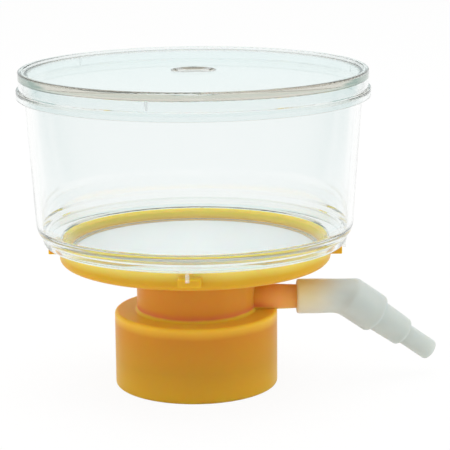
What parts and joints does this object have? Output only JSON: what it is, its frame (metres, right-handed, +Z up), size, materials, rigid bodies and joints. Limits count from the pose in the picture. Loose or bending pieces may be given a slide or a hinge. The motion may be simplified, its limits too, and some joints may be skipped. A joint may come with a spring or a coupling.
{
  "type": "vacuum filtration unit",
  "caption": "Bottle-top vacuum filter: a clear lidded funnel cup on a yellow moulded base with a threaded bottle cap, side port and swivelling stepped hose elbow.",
  "frame": {"origin": "on the bottle axis, in the plane of the cap's lower rim, on which the unit stands", "axes": "+Z up along the bottle axis, +X along the side port, -Y towards the side that faces the viewer"},
  "size_m": [0.1434, 0.119, 0.1094],
  "materials": {
    "yellow_polystyrene": "gloss moulded, slightly translucent",
    "gasket_foam": "matt closed-cell foam",
    "cotton": "pressed fibre",
    "membrane_film": "matt microporous film",
    "clear_polystyrene": "clear gloss moulded",
    "lid_polystyrene": "clear gloss moulded",
    "natural_polyethylene": "soft satin, translucent"
  },
  "bodies": {
    "filter": {"base": "yellow_polystyrene", "gasket": "gasket_foam", "port_plug": "cotton", "membrane": "membrane_film", "cup": "clear_polystyrene", "lid": "lid_polystyrene"},
    "hose_elbow": {"connector": "natural_polyethylene"}
  },
  "joints": [
    {"name": "elbow_swivel", "type": "hinge", "parent": "filter", "child": "hose_elbow", "pos_m": [0.0348, 0, 0.0297], "axis": [1, 0, 0], "continuous": true}
  ]
}
